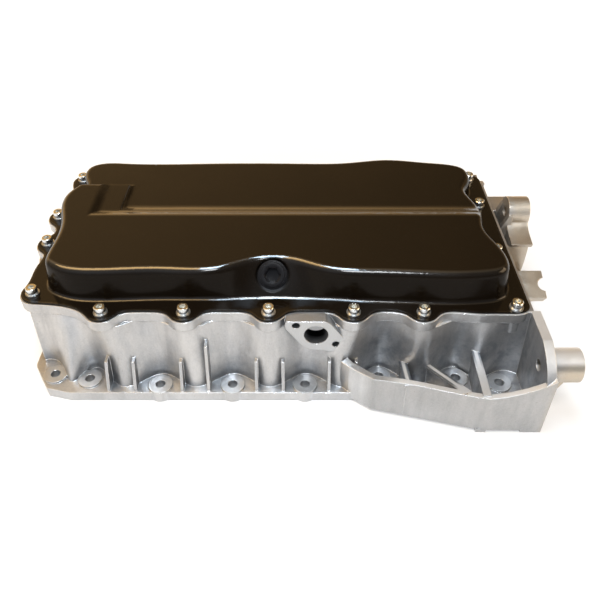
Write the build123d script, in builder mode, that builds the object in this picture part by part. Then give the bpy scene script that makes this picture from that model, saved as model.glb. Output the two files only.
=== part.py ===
"""Two-piece engine oil pan, lying on its block face with the pressed tray on top.

Frame: +X along the engine towards the gearbox end, +Y towards the plain long side,
+Z from the block face up to the tray. The origin is on the block face, on the centre
line. All sizes are in millimetres.
"""
from build123d import *
import math
import os

os.makedirs("parts", exist_ok=True)

# ------------------------------------------------------------------ casting sizes
casting_height = 80.0          # block face to tray face
block_flange_depth = 10.0
tray_rim_depth = 9.0           # rim of the casting under the tray
wall = 4.5                     # cast wall
block_half_width = 140.0       # centre line to the long edge of the block flange
block_left = -247.0            # left edge of the block flange
end_plate_x = 200.0            # inner face of the gearbox end plate
end_plate = 8.0                # its thickness
rim_margin = 1.2               # how far the cast rim shows outside the tray

# ------------------------------------------------------------------ tray bolts
front_bolt_y = -112.5
back_bolt_y = 121.5
bolt_row_x = (-171.0, -100.0, -27.0, 46.0)     # rows shared by both long sides
front_extra_x = 106.0                          # next front bolt, over the pocket
swell_bolt = (94.0, 129.5)                     # back bolt beside the swell of the tray
back_extra_bolt = (146.0, 121.5)
front_left_bolt = (-237.0, -87.0)
front_right_bolt = (187.0, -106.0)
back_right_bolt = (187.0, 109.0)
left_bolts = ((-245.0, -12.0), (-247.0, 34.0))
back_left_bolt = (-240.0, 107.0)
end_bolts = ((187.5, -26.0), (187.5, 55.0))    # in the scallops of the tray's right end
tab_radius = 10.0              # metal round a tray bolt
tray_front_y = -109.5          # straight edge of the tray flange between tabs
tray_back_y = 117.5

# ------------------------------------------------------------------ tray sizes
sheet = 1.5                    # pressed steel
seal = 0.5
front_level = 112.0            # outside of the raised front plateau
middle_level = 108.0           # small ledge between the two at the left
back_level = 104.0             # outside of the lower back plateau
crest_y = -9.0                 # where the front plateau starts to fall
foot_y = 23.0                  # where it has reached the back plateau
ledge_foot_y = 8.0             # where it has reached the ledge
lobe_right = -203.0            # right side of the lobe that the high level keeps
ledge_right = -180.0
lobe_back = 46.0               # back of the lobe and the ledge
lobe_fall = 16.0               # run of the fall behind them
side_fall = 10.0               # run of the falls beside them
bowl_edge_radius = 7.0
bowl_foot_radius = 2.5
bowl_draft = 4.0               # how far the wall leans out to its foot
bay_depth = 19.0               # hollow round the drain plug, at the plateau
bay_half_width = 46.0
bay_front_y = -90.5            # edge of the plateau each side of the hollow

# ------------------------------------------------------------------ fasteners
bolt_shank_radius = 2.95
bolt_thread_radius = 3.0       # tapped holes in the casting
bolt_hole_radius = 3.3         # clearance holes in the tray and the seal
bolt_head_radius = 5.0
bolt_head = 6.0
bolt_grip = 14.0               # shank in the casting
tapped_depth = 18.0
tapped_boss_radius = 6.5
tapped_boss_floor = 4.0        # metal under each tapped hole
socket_radius = 2.9
socket_depth = 3.0
washer_radius = 6.2
washer = 1.5

# ------------------------------------------------------------------ drain plug
drain_x = -24.0
drain_seat_y = -79.4           # middle of the tilted seat, outside of the sheet
drain_seat_z = 97.1
drain_tilt = 50.0              # of the plug's axis from the vertical
drain_seat_radius = 14.5
drain_thread_radius = 7.0
drain_running = 0.05           # radial clearance of the thread
drain_hole_margin = 0.3        # hole in the sheet round the thread
drain_washer_margin = 0.2      # hole in the sealing ring
drain_grip = 13.0
drain_nut_radius = 12.0
drain_nut_length = 10.0
drain_washer = 1.2
drain_washer_radius = 11.0
drain_flange_radius = 13.0
drain_flange = 2.8
drain_head_radius = 11.0
drain_head = 2.0
drain_socket_radius = 6.0
drain_socket_depth = 5.0
drain_rim_round = 0.6

# ------------------------------------------------------------------ block bolts
block_bolt_radius = 4.4        # M8 clearance
block_bolt_y = 131.0
block_bolt_pitch = 65.5
block_bolt_first_x = -126.5    # three at the pitch, on both long sides
left_pair = (-192.0, 124.0)
corner_pair = (-225.0, 118.5)
pocket_bolts = ((72.0, -121.0), (142.5, -123.0), (181.0, -129.0))
back_block_bolts = ((72.0, 131.0), (135.0, 131.0), (190.0, 128.0))
pad_radius = 11.0
pad_height = 2.0

# ------------------------------------------------------------------ oil return
return_x = 14.0
return_z = 64.5
return_face_y = -122.0
return_bore_radius = 10.5
return_boss_radius = 17.5
return_boss_depth = 17.0
return_bore_depth = 29.0       # through the boss and the wall behind it
return_ear_radius = 9.5
return_ear_x = 17.5            # ears lie each side, one high and one low
return_ear_z = 11.0
return_thread_radius = 3.4     # M8 tapping size
return_thread_depth = 12.0

# ------------------------------------------------------------------ pocket
pocket_left = (43.0, -138.0)
pocket_corner = (63.0, -152.5)
pocket_nose = (157.0, -176.0)
pocket_right_x = end_plate_x + end_plate
panel = 5.0                    # outer panel of the pocket
rim_left_z = 41.0
rim_mid_z = 46.0
rim_right_z = 70.0
foot_height = 3.0              # the panel stands on two feet, clear between them
foot_length = 9.0
pocket_inner_y = -118.0
rib = 4.0
rib_cap = 7.0                  # the ribs end in a wider cap

# ------------------------------------------------------------------ gearbox end
gearbox_face_x = 233.0
lug_back_x = 212.0
lug_y = 42.0
lug_z = 84.5
lug_radius = 15.0
lug_hole_radius = 5.25         # M10 clearance
spigot_y = -150.0
spigot_z = 57.0
spigot_radius = 14.7
spigot_hole_radius = 5.25      # M10 clearance
bracket_slot_radius = 7.0
web = 6.0
gusset = 2.6                   # small upright fins at the foot of each bolt column
gusset_spread = 12.0           # from the middle of the column
gusset_top = 37.0
tall_gusset_top = 56.0

tray_face = casting_height + seal
tray_top = tray_face + sheet
rim_under = casting_height - tray_rim_depth
foot_z = block_flange_depth


# ------------------------------------------------------------------ shared outlines
def tab_points(x, y, bearing, grow):
    """Five points round a bolt tab whose outward direction is the bearing in degrees."""
    out_x = math.cos(math.radians(bearing))
    out_y = math.sin(math.radians(bearing))
    shape = ((-15.0, 0.5), (-8.5, 7.2), (0.0, tab_radius), (8.5, 7.2), (15.0, 0.5))
    points = []
    for along, out in shape:
        reach = out + grow
        points.append((x + out_x * reach - out_y * along, y + out_y * reach + out_x * along))
    return points


def rim_outline(grow):
    """Edge of the tray flange, or of the rim under it when grown, inside a BuildLine."""
    end_x = end_plate_x - 0.5 + grow
    first = (end_x, tray_back_y - 14.0)
    points = [first, (end_x - 2.5, tray_back_y - 3.0), (end_x - 10.0, tray_back_y + 3.0 + grow)]
    points.append((end_x - 20.0, tray_back_y + 3.0 + grow))
    points += tab_points(*back_extra_bolt, 90.0, grow)
    points += tab_points(*swell_bolt, 90.0, grow)
    for x in reversed(bolt_row_x):
        points += tab_points(x, back_bolt_y, 90.0, grow)
        points.append((x - 36.0, tray_back_y + grow))
    points += tab_points(*back_left_bolt, 145.0, grow)
    points.append((-242.0 - grow, 72.0))
    points += tab_points(*left_bolts[1], 180.0, grow)
    points += tab_points(*left_bolts[0], 180.0, grow)
    points.append((-245.5 - grow, -48.0))
    points += tab_points(*front_left_bolt, 215.0, grow)
    for x in bolt_row_x:
        points += tab_points(x, front_bolt_y, 270.0, grow)
        points.append((x + 36.0, tray_front_y - grow))
    points += tab_points(front_extra_x, front_bolt_y, 270.0, grow)
    points.append((150.0, tray_front_y - 2.0 - grow))
    points.append((end_x - 23.0, tray_front_y - 2.5 - grow))
    points.append((end_x - 9.0, tray_front_y - 2.0 - grow))
    points.append((end_x - 2.5, tray_front_y + 1.0))
    last = (end_x, tray_front_y + 7.0)
    Spline(*points, last)
    Line(last, first)


tray_bolts = [front_left_bolt]
tray_bolts += [(x, front_bolt_y) for x in bolt_row_x]
tray_bolts += [(front_extra_x, front_bolt_y), front_right_bolt]
tray_bolts += list(end_bolts)
tray_bolts += [back_right_bolt, back_extra_bolt, swell_bolt]
tray_bolts += [(x, back_bolt_y) for x in reversed(bolt_row_x)]
tray_bolts += [back_left_bolt, left_bolts[1], left_bolts[0]]

block_bolts = []
for side in (-1, 1):
    for step in range(3):
        block_bolts.append((block_bolt_first_x + step * block_bolt_pitch, side * block_bolt_y))
    block_bolts.append((left_pair[0], side * left_pair[1]))
    block_bolts.append((corner_pair[0], side * corner_pair[1]))
block_bolts += list(pocket_bolts)
block_bolts += list(back_block_bolts)

# Each station of the wall is (x, y) under the rim and (x, y) at the foot. Columns stand
# under the tray bolts, and hollows leave room for a spanner over the block bolts.
column_out = 8.5
column_foot_x = (-160.0, -94.0, -27.0, 38.0)
front_columns = []
for x, foot_x in zip(bolt_row_x, column_foot_x):
    hollow_x = foot_x + 33.5
    front_columns.append(((x, front_bolt_y - column_out), (foot_x, -133.0)))
    front_columns.append(((x + 36.5, -107.5), (hollow_x, -116.5)))

front_stations = [((-226.0, -97.0), (-225.0, -103.0)), ((-210.0, -101.0), (-208.0, -127.0))]
front_stations += [((-194.0, -104.0), (-192.0, -109.0))]
front_stations += front_columns[:-1]
front_stations += [((76.0, -107.5), (72.0, -107.0)), ((106.0, -121.0), (108.0, -129.0))]
front_stations += [((142.0, -108.0), (142.5, -108.5)), ((162.0, -111.0), (162.0, -122.0))]
front_stations += [((180.0, -111.0), (181.0, -114.0))]
back_wider = back_bolt_y + front_bolt_y    # the tray reaches further at the back
back_stations = [((-226.0, 113.0), (-225.0, 103.0)), ((-210.0, 110.0), (-208.0, 127.0))]
back_stations += [((-194.0, 111.0), (-192.0, 110.0))]
back_stations += [((top[0], -top[1] + back_wider), (foot[0], -foot[1])) for top, foot in front_columns[:-1]]
back_stations += [((70.0, 117.0), (72.0, 116.0)), ((94.0, 136.0), (102.0, 133.0))]
back_stations += [((121.0, 118.0), (135.0, 116.0)), ((146.0, 129.0), (162.0, 133.0))]
back_stations += [((170.0, 112.0), (190.0, 114.0))]
left_stations = [((-238.0, -55.0), (-239.0, -58.0)), ((-253.0, -12.0), (-243.0, -12.0))]
left_stations += [((-243.0, 11.0), (-240.5, 11.0)), ((-255.0, 34.0), (-243.0, 34.0))]
left_stations += [((-240.0, 72.0), (-239.0, 72.0))]
front_left_station = ((-242.0, -93.0), (-241.0, -99.0))
back_left_station = ((-247.0, 113.0), (-241.0, 105.0))
end_front = ((end_plate_x, -110.0), (end_plate_x, -117.0))
end_back = ((end_plate_x, 111.0), (end_plate_x, 117.0))
inner_top_y = 103.5            # straight inside edge under the rim
inner_left_x = -233.0
inner_end_x = end_plate_x - 7.0


def outer_wall(level):
    """Outside of the wall, level 0 under the rim and 1 at the foot, in a BuildLine."""
    front = [front_left_station] + front_stations + [end_front]
    back = [back_left_station] + back_stations + [end_back]
    left = [front_left_station] + left_stations + [back_left_station]
    Spline(*[station[level] for station in front])
    Line(end_front[level], end_back[level])
    Spline(*[station[level] for station in reversed(back)])
    Spline(*[station[level] for station in reversed(left)])


def inner_wall(level):
    """Inside of the wall: straight under the rim, so the bolt columns stay solid."""
    if level == 0:
        front = [(x, max(-inner_top_y, y + wall)) for (x, y), foot in front_stations]
        back = [(x, min(inner_top_y, y - wall)) for (x, y), foot in back_stations]
        left = [(inner_left_x, y) for (x, y), foot in left_stations]
        near_left = (inner_left_x, -inner_top_y + 18.0)
        far_left = (inner_left_x, inner_top_y - 6.0)
        near_end = (inner_end_x, -inner_top_y)
        far_end = (inner_end_x, inner_top_y)
    else:
        front = [(x, y + wall) for top, (x, y) in front_stations]
        back = [(x, y - wall) for top, (x, y) in back_stations]
        left = [(x + wall, y) for top, (x, y) in left_stations]
        near_left = (front_left_station[1][0] + wall, front_left_station[1][1] + wall)
        far_left = (back_left_station[1][0] + wall, back_left_station[1][1] - wall)
        near_end = (inner_end_x, end_front[1][1] + wall)
        far_end = (inner_end_x, end_back[1][1] - wall)
    Spline(near_left, *front, near_end)
    Line(near_end, far_end)
    Spline(far_end, *reversed(back), far_left)
    Spline(far_left, *reversed(left), near_left)


# ------------------------------------------------------------------ space inside the sump
with BuildPart() as sump_space:
    with BuildSketch(Plane.XY.offset(foot_z - 1.0)) as inner_foot:
        with BuildLine():
            inner_wall(1)
        make_face()
    extrude(amount=-block_flange_depth)
    with BuildSketch(Plane.XY.offset(rim_under)) as inner_shoulder:
        with BuildLine():
            inner_wall(0)
        make_face()
    extrude(amount=tray_rim_depth + 1.0)
    loft(sections=[inner_foot.sketch, inner_shoulder.sketch])

# ------------------------------------------------------------------ outer panel of the pocket
with BuildPart() as pocket_panel:
    with BuildSketch(Plane.XY.offset(foot_height)):
        with BuildLine():
            Polyline(
                (pocket_left[0] - 7.0, pocket_left[1] + 7.0),
                pocket_left,
                pocket_corner,
                pocket_nose,
                (pocket_right_x, pocket_nose[1]),
                (pocket_right_x, pocket_nose[1] + panel),
                (pocket_nose[0] + 0.7, pocket_nose[1] + panel),
                (pocket_corner[0] + 2.0, pocket_corner[1] + panel),
                (pocket_left[0] + 3.0, pocket_left[1] + panel + 1.5),
                (pocket_left[0] - 1.0, pocket_left[1] + 12.0),
                close=True,
            )
        make_face()
    extrude(amount=rim_right_z)
    with BuildSketch(Plane.XZ.offset(-pocket_inner_y)):
        with BuildLine():
            rim_curve = Spline(
                (pocket_left[0] - 10.0, rim_left_z),
                (pocket_left[0] + 8.0, rim_left_z),
                (pocket_nose[0] - 60.0, rim_mid_z - 2.5),
                (pocket_nose[0] + 16.0, rim_mid_z + 0.5),
                (pocket_right_x - 16.0, rim_mid_z + 8.0),
                (pocket_right_x, rim_right_z - 6.0),
            )
            Polyline(
                (pocket_right_x, rim_right_z - 6.0),
                (pocket_right_x, 0.0),
                (pocket_left[0] - 10.0, 0.0),
                (pocket_left[0] - 10.0, rim_left_z),
            )
        make_face()
    extrude(amount=60.0, mode=Mode.INTERSECT)


def pocket_rib(start, end, start_z, end_z):
    """Upright rib between two plan points, with a wider cap along its sloping top."""
    length = math.hypot(end[0] - start[0], end[1] - start[1])
    along = Vector(end[0] - start[0], end[1] - start[1], 0.0)
    upright = Plane(origin=(start[0], start[1], 0.0), x_dir=along, z_dir=along.cross(Vector(0, 0, 1)))
    with BuildPart() as rib_part:
        with BuildSketch(upright):
            with BuildLine():
                Polyline((0, 5), (length, 5), (length, end_z), (0, start_z), close=True)
            make_face()
        extrude(amount=rib / 2, both=True)
        with BuildSketch(upright):
            with BuildLine():
                Polyline((0, start_z - 3), (length, end_z - 3), (length, end_z), (0, start_z), close=True)
            make_face()
        extrude(amount=rib_cap / 2, both=True)
    return rib_part.part


pocket_ribs = [
    pocket_rib((93.0, -112.0), (92.0, -160.0), 26.0, 42.0),
    pocket_rib((109.0, -112.0), (140.0, -169.0), 25.0, 43.5),
    pocket_rib((158.0, -108.0), (155.0, -173.0), 37.0, 44.5),
]
bracket_slot_plane = Plane(origin=(gearbox_face_x + 1.0, -44.0, 55.0), z_dir=(0, -0.6, 0.8))

# ------------------------------------------------------------------ seat of the drain plug
drain_plane = Plane(
    origin=(drain_x, drain_seat_y, drain_seat_z),
    x_dir=(1, 0, 0),
    z_dir=(0, -math.sin(math.radians(drain_tilt)), math.cos(math.radians(drain_tilt))),
)

# Plan of the bowl at the plateaus, counter-clockwise, in two runs: the front left corner,
# and from the right of the drain hollow round to the front left again.
bowl_front_left = ((-219.0, -80.0), (-205.0, -88.5), (-168.0, -92.5), (-120.0, -90.5))
bowl_round = (
    (60.0, -93.5), (101.0, -95.5), (160.0, -95.0),
    (178.0, -88.0), (182.5, -72.0), (178.0, -50.0), (171.5, -26.0), (173.5, -8.0),
    (176.5, 18.0), (172.0, 38.0), (169.0, 55.0), (176.0, 72.0), (179.0, 86.0),
    (176.0, 98.0), (164.0, 105.5), (140.0, 110.0), (94.0, 116.5), (52.0, 110.0),
    (0.0, 108.5), (-100.0, 108.5), (-190.0, 108.5), (-217.0, 107.5), (-227.0, 100.0),
    (-228.0, 85.0), (-222.0, 66.0), (-224.0, 53.0), (-231.0, 40.0), (-234.0, 22.0),
    (-230.0, 3.0), (-225.0, -16.0), (-223.0, -40.0), (-224.0, -62.0),
)
bay_shares = (-1.1, -0.8, -0.5, -0.25, 0.0, 0.25, 0.5, 0.8, 1.1)   # of its half width


def bowl_points(depth):
    """Plan of the bowl with the drain hollow at a depth behind its front edge."""
    hollow = []
    for share in bay_shares:
        bell = max(0.0, 1.0 - share * share) ** 1.2
        hollow.append((drain_x + share * bay_half_width, bay_front_y + depth * bell))
    return list(bowl_front_left) + hollow + list(bowl_round)


# ------------------------------------------------------------------ casting
with BuildPart() as upper_pan_casting:
    # block flange, with the lobe round the front left bolt
    with BuildSketch(Plane.XY):
        with BuildLine():
            lobe_x, lobe_y = corner_pair
            Polyline(
                (end_plate_x + end_plate, block_half_width),
                (corner_pair[0] + 18.0, block_half_width),
                (corner_pair[0] - 4.0, lobe_y + 16.0),
                (block_left, lobe_y - 12.0),
                (block_left, -lobe_y + 12.0),
                (corner_pair[0] - 4.0, -lobe_y - 16.0),
                (corner_pair[0] + 18.0, -block_half_width),
                (pocket_left[0], -block_half_width),
                (end_plate_x + end_plate, -block_half_width),
                close=True,
            )
        make_face()
    extrude(amount=block_flange_depth)
    fillet(upper_pan_casting.edges().filter_by(Axis.Z).group_by(Axis.X)[0], radius=12.0)
    # outer wall, from the foot up to the rim
    with BuildSketch(Plane.XY.offset(foot_z - 1.0)):
        with BuildLine():
            outer_wall(1)
        make_face()
    with BuildSketch(Plane.XY.offset(rim_under)):
        with BuildLine():
            outer_wall(0)
        make_face()
    loft()
    # rim under the tray
    with BuildSketch(Plane.XY.offset(rim_under - 0.5)):
        with BuildLine():
            rim_outline(rim_margin)
        make_face()
    extrude(amount=tray_rim_depth + 0.5)
    # pads round the block bolts
    with BuildSketch(Plane.XY):
        with Locations(*block_bolts):
            Circle(pad_radius)
    extrude(amount=block_flange_depth + pad_height)
    # small gussets at the foot of the bolt columns
    for foot_x in column_foot_x:
        for side in (-1, 1):
            top = tall_gusset_top if (foot_x, side) == (column_foot_x[1], 1) else gusset_top
            with BuildSketch(Plane.YZ.offset(foot_x + side * gusset_spread - gusset / 2)):
                with BuildLine():
                    Polyline(
                        (pocket_inner_y, foot_z - 1.0),
                        (-block_half_width + 2.0, foot_z - 1.0),
                        (-block_half_width + 2.5, foot_z + 3.0),
                        (-block_half_width + 12.0, top),
                        (pocket_inner_y, top),
                        close=True,
                    )
                make_face()
            extrude(amount=gusset)
    # gearbox end plate
    with BuildSketch(Plane.YZ.offset(end_plate_x)):
        with BuildLine():
            Line((-block_half_width, 0.0), (pocket_nose[1], 0.0))
            Line((pocket_nose[1], 0.0), (pocket_nose[1], rim_right_z - 12.0))
            Spline((pocket_nose[1], rim_right_z - 12.0), (-165.0, rim_right_z), (-144.0, casting_height))
            Polyline(
                (-144.0, casting_height),
                (-108.0, casting_height),
                (-108.0, 0.0),
                (-block_half_width, 0.0),
            )
        make_face()
    extrude(amount=end_plate)
    # end wall of the sump, leaning out to its foot
    with BuildSketch(Plane.XZ.offset(110.0)):
        with BuildLine():
            Polyline(
                (inner_end_x, 1.0),
                (end_plate_x + end_plate, 1.0),
                (end_plate_x + end_plate, 14.0),
                (end_plate_x + 2.5, casting_height),
                (inner_end_x, casting_height),
                close=True,
            )
        make_face()
    extrude(amount=-214.0)
    # pocket floor, raised clear of the floor between the feet
    with BuildSketch(Plane.XY.offset(foot_height)):
        with BuildLine():
            Polyline(
                pocket_left,
                pocket_corner,
                pocket_nose,
                (pocket_right_x, pocket_nose[1]),
                (pocket_right_x, pocket_inner_y),
                (pocket_left[0], pocket_inner_y),
                close=True,
            )
        make_face()
    extrude(amount=block_flange_depth - foot_height)
    add(pocket_panel.part)
    # feet under the panel
    with BuildSketch(Plane.XY):
        with Locations((pocket_nose[0] - 1.0, pocket_nose[1] + 6.0)):
            Rectangle(foot_length, 12.0)
        with Locations((pocket_right_x - 9.0, pocket_nose[1] + 6.0)):
            Rectangle(18.0, 12.0)
    extrude(amount=foot_height + 1.0)
    # spigot on the gearbox end, through the end plate
    with BuildSketch(Plane.YZ.offset(end_plate_x)):
        with Locations((spigot_y, spigot_z)):
            Circle(spigot_radius)
    extrude(amount=gearbox_face_x - end_plate_x)
    # web from the spigot down to the corner of the plate
    with BuildSketch(Plane.XZ.offset(-spigot_y - web / 2)):
        with BuildLine():
            Polyline(
                (end_plate_x + 2.0, 2.0),
                (pocket_right_x + 1.0, 2.0),
                (gearbox_face_x - 5.0, spigot_z - spigot_radius + 2.0),
                (gearbox_face_x - 5.0, spigot_z),
                (end_plate_x + 2.0, spigot_z),
                close=True,
            )
        make_face()
    extrude(amount=web)
    # gearbox lug: round ear on a waisted upright
    with BuildSketch(Plane.YZ.offset(lug_back_x)):
        with Locations((lug_y, lug_z)):
            Circle(lug_radius)
        with BuildLine():
            Spline((lug_y - 12.0, lug_z + 7.0), (24.5, 76.5), (13.5, 73.0), (0.6, 71.0))
            Polyline(
                (0.6, 71.0),
                (3.5, 66.5),
                (10.2, 64.0),
                (10.2, 42.0),
                (14.0, 12.0),
                (80.0, 12.0),
                (74.0, 60.0),
                (lug_y + 12.0, lug_z + 7.0),
                (lug_y - 12.0, lug_z + 7.0),
            )
        make_face()
    extrude(amount=gearbox_face_x - lug_back_x)
    # webs that carry the lug from the end plate
    for web_y in (lug_y - 16.0, lug_y + 10.0):
        with BuildSketch(Plane.XZ.offset(-web_y - web)):
            with BuildLine():
                Polyline(
                    (end_plate_x + 2.0, 10.0),
                    (lug_back_x + 4.0, 10.0),
                    (lug_back_x + 4.0, lug_z + 4.0),
                    (lug_back_x, lug_z + 4.0),
                    (end_plate_x + 2.0, 60.0),
                    close=True,
                )
            make_face()
        extrude(amount=web)
    with BuildSketch(Plane.YZ.offset(end_plate_x + 2.0)):
        with BuildLine():
            Polyline((14.0, 12.0), (80.0, 12.0), (76.0, 50.0), (18.0, 50.0), close=True)
        make_face()
    extrude(amount=lug_back_x - end_plate_x)
    # block behind the lug, and the rear corner of the end wall
    with BuildSketch(Plane.YZ.offset(end_plate_x + 2.0)):
        with BuildLine():
            Polyline((56.0, 20.0), (90.0, 20.0), (88.0, 71.0), (84.0, 75.5), (56.0, 75.5), close=True)
        make_face()
    extrude(amount=lug_back_x + 9.0 - end_plate_x)
    with BuildSketch(Plane.YZ.offset(end_plate_x - 3.0)):
        with BuildLine():
            Polyline(
                (104.0, foot_z),
                (104.0, casting_height),
                (112.0, casting_height - 1.5),
                (127.0, 69.5),
                (block_half_width, 70.0),
                (block_half_width, foot_z),
                close=True,
            )
        make_face()
    extrude(amount=end_plate)
    # open bracket between the lug and the spigot
    with BuildSketch(Plane.YZ.offset(end_plate_x + 2.0)):
        with BuildLine():
            Polyline(
                (14.0, 24.0),
                (-33.0, 65.0),
                (-46.0, 61.0),
                (-62.0, 55.0),
                (-56.0, 46.0),
                (-20.0, 14.0),
                close=True,
            )
        make_face()
    extrude(amount=gearbox_face_x - end_plate_x - 2.0)
    # inside space of the sump
    add(sump_space.part, mode=Mode.SUBTRACT)
    # tapped bosses under the tray bolts
    with BuildSketch(Plane.XY.offset(casting_height - tapped_depth - tapped_boss_floor)):
        with Locations(*tray_bolts):
            Circle(tapped_boss_radius)
    extrude(amount=tapped_depth + tapped_boss_floor)
    # oil return boss on the long side
    with BuildSketch(Plane.XZ.offset(-return_face_y)) as return_shape:
        with Locations((return_x, return_z)):
            Circle(return_boss_radius)
        with Locations(
            (return_x - return_ear_x, return_z + return_ear_z),
            (return_x + return_ear_x, return_z - return_ear_z),
        ):
            Circle(return_ear_radius)
        make_hull()
        with Locations((return_x, casting_height + 50.0)):
            Rectangle(120.0, 100.0, mode=Mode.SUBTRACT)
    extrude(amount=-return_boss_depth)
    # pocket ribs
    for rib in pocket_ribs:
        add(rib)
    # holes
    with BuildSketch(Plane.XZ.offset(-return_face_y)):
        with Locations((return_x, return_z)):
            Circle(return_bore_radius)
    extrude(amount=-return_bore_depth, mode=Mode.SUBTRACT)
    with BuildSketch(Plane.XZ.offset(-return_face_y)):
        with Locations(
            (return_x - return_ear_x, return_z + return_ear_z),
            (return_x + return_ear_x, return_z - return_ear_z),
        ):
            Circle(return_thread_radius)
    extrude(amount=-return_thread_depth, mode=Mode.SUBTRACT)
    with BuildSketch(Plane.XY.offset(casting_height)):
        with Locations(*tray_bolts):
            Circle(bolt_thread_radius)
    extrude(amount=-tapped_depth, mode=Mode.SUBTRACT)
    with BuildSketch(Plane.XY):
        with Locations(*block_bolts):
            Circle(block_bolt_radius)
    extrude(amount=block_flange_depth + pad_height + 1.0, mode=Mode.SUBTRACT)
    with BuildSketch(Plane.YZ.offset(end_plate_x)):
        with Locations((spigot_y, spigot_z)):
            Circle(spigot_hole_radius)
    extrude(amount=gearbox_face_x - end_plate_x, mode=Mode.SUBTRACT)
    with BuildSketch(Plane.YZ.offset(lug_back_x)):
        with Locations((lug_y, lug_z)):
            Circle(lug_hole_radius)
    extrude(amount=gearbox_face_x - lug_back_x, mode=Mode.SUBTRACT)
    with BuildSketch(bracket_slot_plane):
        Circle(bracket_slot_radius)
    extrude(amount=40.0, both=True, mode=Mode.SUBTRACT)
upper_pan_casting.part.label = "upper_pan_casting"
export_step(upper_pan_casting.part, "parts/upper_pan_casting.step")


# ------------------------------------------------------------------ pressed tray
def inset_points(points, inset):
    """Closed run of points moved inwards by the inset, square to their neighbours."""
    moved = []
    for before, here, after in zip(points[-1:] + points[:-1], points, points[1:] + points[:1]):
        run_x = after[0] - before[0]
        run_y = after[1] - before[1]
        run = math.hypot(run_x, run_y)
        moved.append((here[0] - run_y / run * inset, here[1] + run_x / run * inset))
    return moved


def plan_face(points, level):
    """Closed smooth outline as a face at a height."""
    with BuildSketch(Plane.XY.offset(level)) as face:
        with BuildLine():
            Spline(*points, periodic=True)
        make_face()
    return face.sketch


def above_fall(side, start, end, high, low, far):
    """Face above a smooth S-shaped fall from high to low, on a plane whose local Y is up."""
    middle = ((start + end) / 2, (high + low) / 2)
    with BuildSketch(side) as profile:
        with BuildLine():
            Spline((start, high), middle, (end, low), tangents=((1, 0), (1, 0)))
            Polyline((end, low), (far, low), (far, high + 20.0), (start, high + 20.0), (start, high))
        make_face()
    return profile.sketch


def pressed_bowl(inset):
    """Solid with the outer form of the bowl, or of its inside when inset by the sheet."""
    reach = 600.0
    from_left = Plane.YZ.offset(-reach / 2)
    from_back = Plane.XZ.offset(-reach / 2)
    front = front_level - inset
    ledge = middle_level - inset
    back = back_level - inset
    foot = plan_face(inset_points(bowl_points(0.0), inset - bowl_draft), tray_face)
    top = plan_face(inset_points(bowl_points(bay_depth), inset), front)
    back_fall = above_fall(from_left, crest_y, foot_y, front, back, reach)
    back_side = above_fall(from_back, ledge_right, ledge_right + side_fall, front, back, reach)
    ledge_fall = above_fall(from_left, crest_y, ledge_foot_y, front, ledge, reach)
    ledge_side = above_fall(from_back, lobe_right, lobe_right + side_fall, front, ledge, reach)
    lobe_end = above_fall(from_left, lobe_back, lobe_back + lobe_fall, front, back, reach)
    with BuildPart() as back_cut:
        extrude(back_fall, amount=reach)
        extrude(back_side, amount=reach, mode=Mode.INTERSECT)
    with BuildPart() as ledge_cut:
        extrude(ledge_fall, amount=reach)
        extrude(ledge_side, amount=reach, mode=Mode.INTERSECT)
    with BuildPart() as lobe_cut:
        extrude(lobe_end, amount=reach)
    with BuildPart() as bowl:
        loft(sections=[foot, top])
        add(back_cut.part, mode=Mode.SUBTRACT)
        add(ledge_cut.part, mode=Mode.SUBTRACT)
        add(lobe_cut.part, mode=Mode.SUBTRACT)
        wall_face = bowl.faces().filter_by(GeomType.PLANE, reverse=True).sort_by(SortBy.AREA)[-1]
        upper_edges = wall_face.edges().filter_by(lambda edge: edge.bounding_box().min.Z > back - 1.0)
        fillet(upper_edges, radius=bowl_edge_radius - inset)
        # flat seat of the drain plug
        with BuildSketch(drain_plane.offset(-inset)):
            Circle(drain_seat_radius + inset)
        extrude(amount=reach / 10, mode=Mode.SUBTRACT)
    return bowl.part


lower_bowl = pressed_bowl(0.0)
lower_bowl_inside = pressed_bowl(sheet)
with BuildPart() as lower_pan_tray:
    with BuildSketch(Plane.XY.offset(tray_face)):
        with BuildLine():
            rim_outline(0.0)
        make_face()
    extrude(amount=sheet)
    add(lower_bowl)
    edges_on_flange = lower_pan_tray.edges().filter_by_position(Axis.Z, tray_top - 0.01, tray_top + 0.01)
    fillet(edges_on_flange.filter_by(lambda edge: edge.is_closed), radius=bowl_foot_radius)
    add(lower_bowl_inside, mode=Mode.SUBTRACT)
    with BuildSketch(Plane.XY.offset(tray_face)):
        with Locations(*tray_bolts):
            Circle(bolt_hole_radius)
    extrude(amount=sheet, mode=Mode.SUBTRACT)
    with BuildSketch(drain_plane):
        Circle(drain_thread_radius + drain_hole_margin)
    extrude(amount=-10.0, mode=Mode.SUBTRACT)
lower_pan_tray.part.label = "lower_pan_tray"
export_step(lower_pan_tray.part, "parts/lower_pan_tray.step")

# ------------------------------------------------------------------ seal
with BuildPart() as tray_seal:
    with BuildSketch(Plane.XY.offset(casting_height)):
        with BuildLine():
            rim_outline(-0.6)
        make_face()
        with BuildLine():
            inner_wall(0)
        make_face(mode=Mode.SUBTRACT)
        with Locations(*tray_bolts):
            Circle(bolt_hole_radius, mode=Mode.SUBTRACT)
    extrude(amount=seal)
tray_seal.part.label = "tray_seal"
export_step(tray_seal.part, "parts/tray_seal.step")

# ------------------------------------------------------------------ drain plug set
with BuildPart() as drain_nut:
    with BuildSketch(drain_plane.offset(-sheet)):
        Circle(drain_nut_radius)
        Circle(drain_thread_radius + drain_running, mode=Mode.SUBTRACT)
    extrude(amount=-drain_nut_length)
drain_nut.part.label = "drain_nut"
export_step(drain_nut.part, "parts/drain_nut.step")

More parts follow.
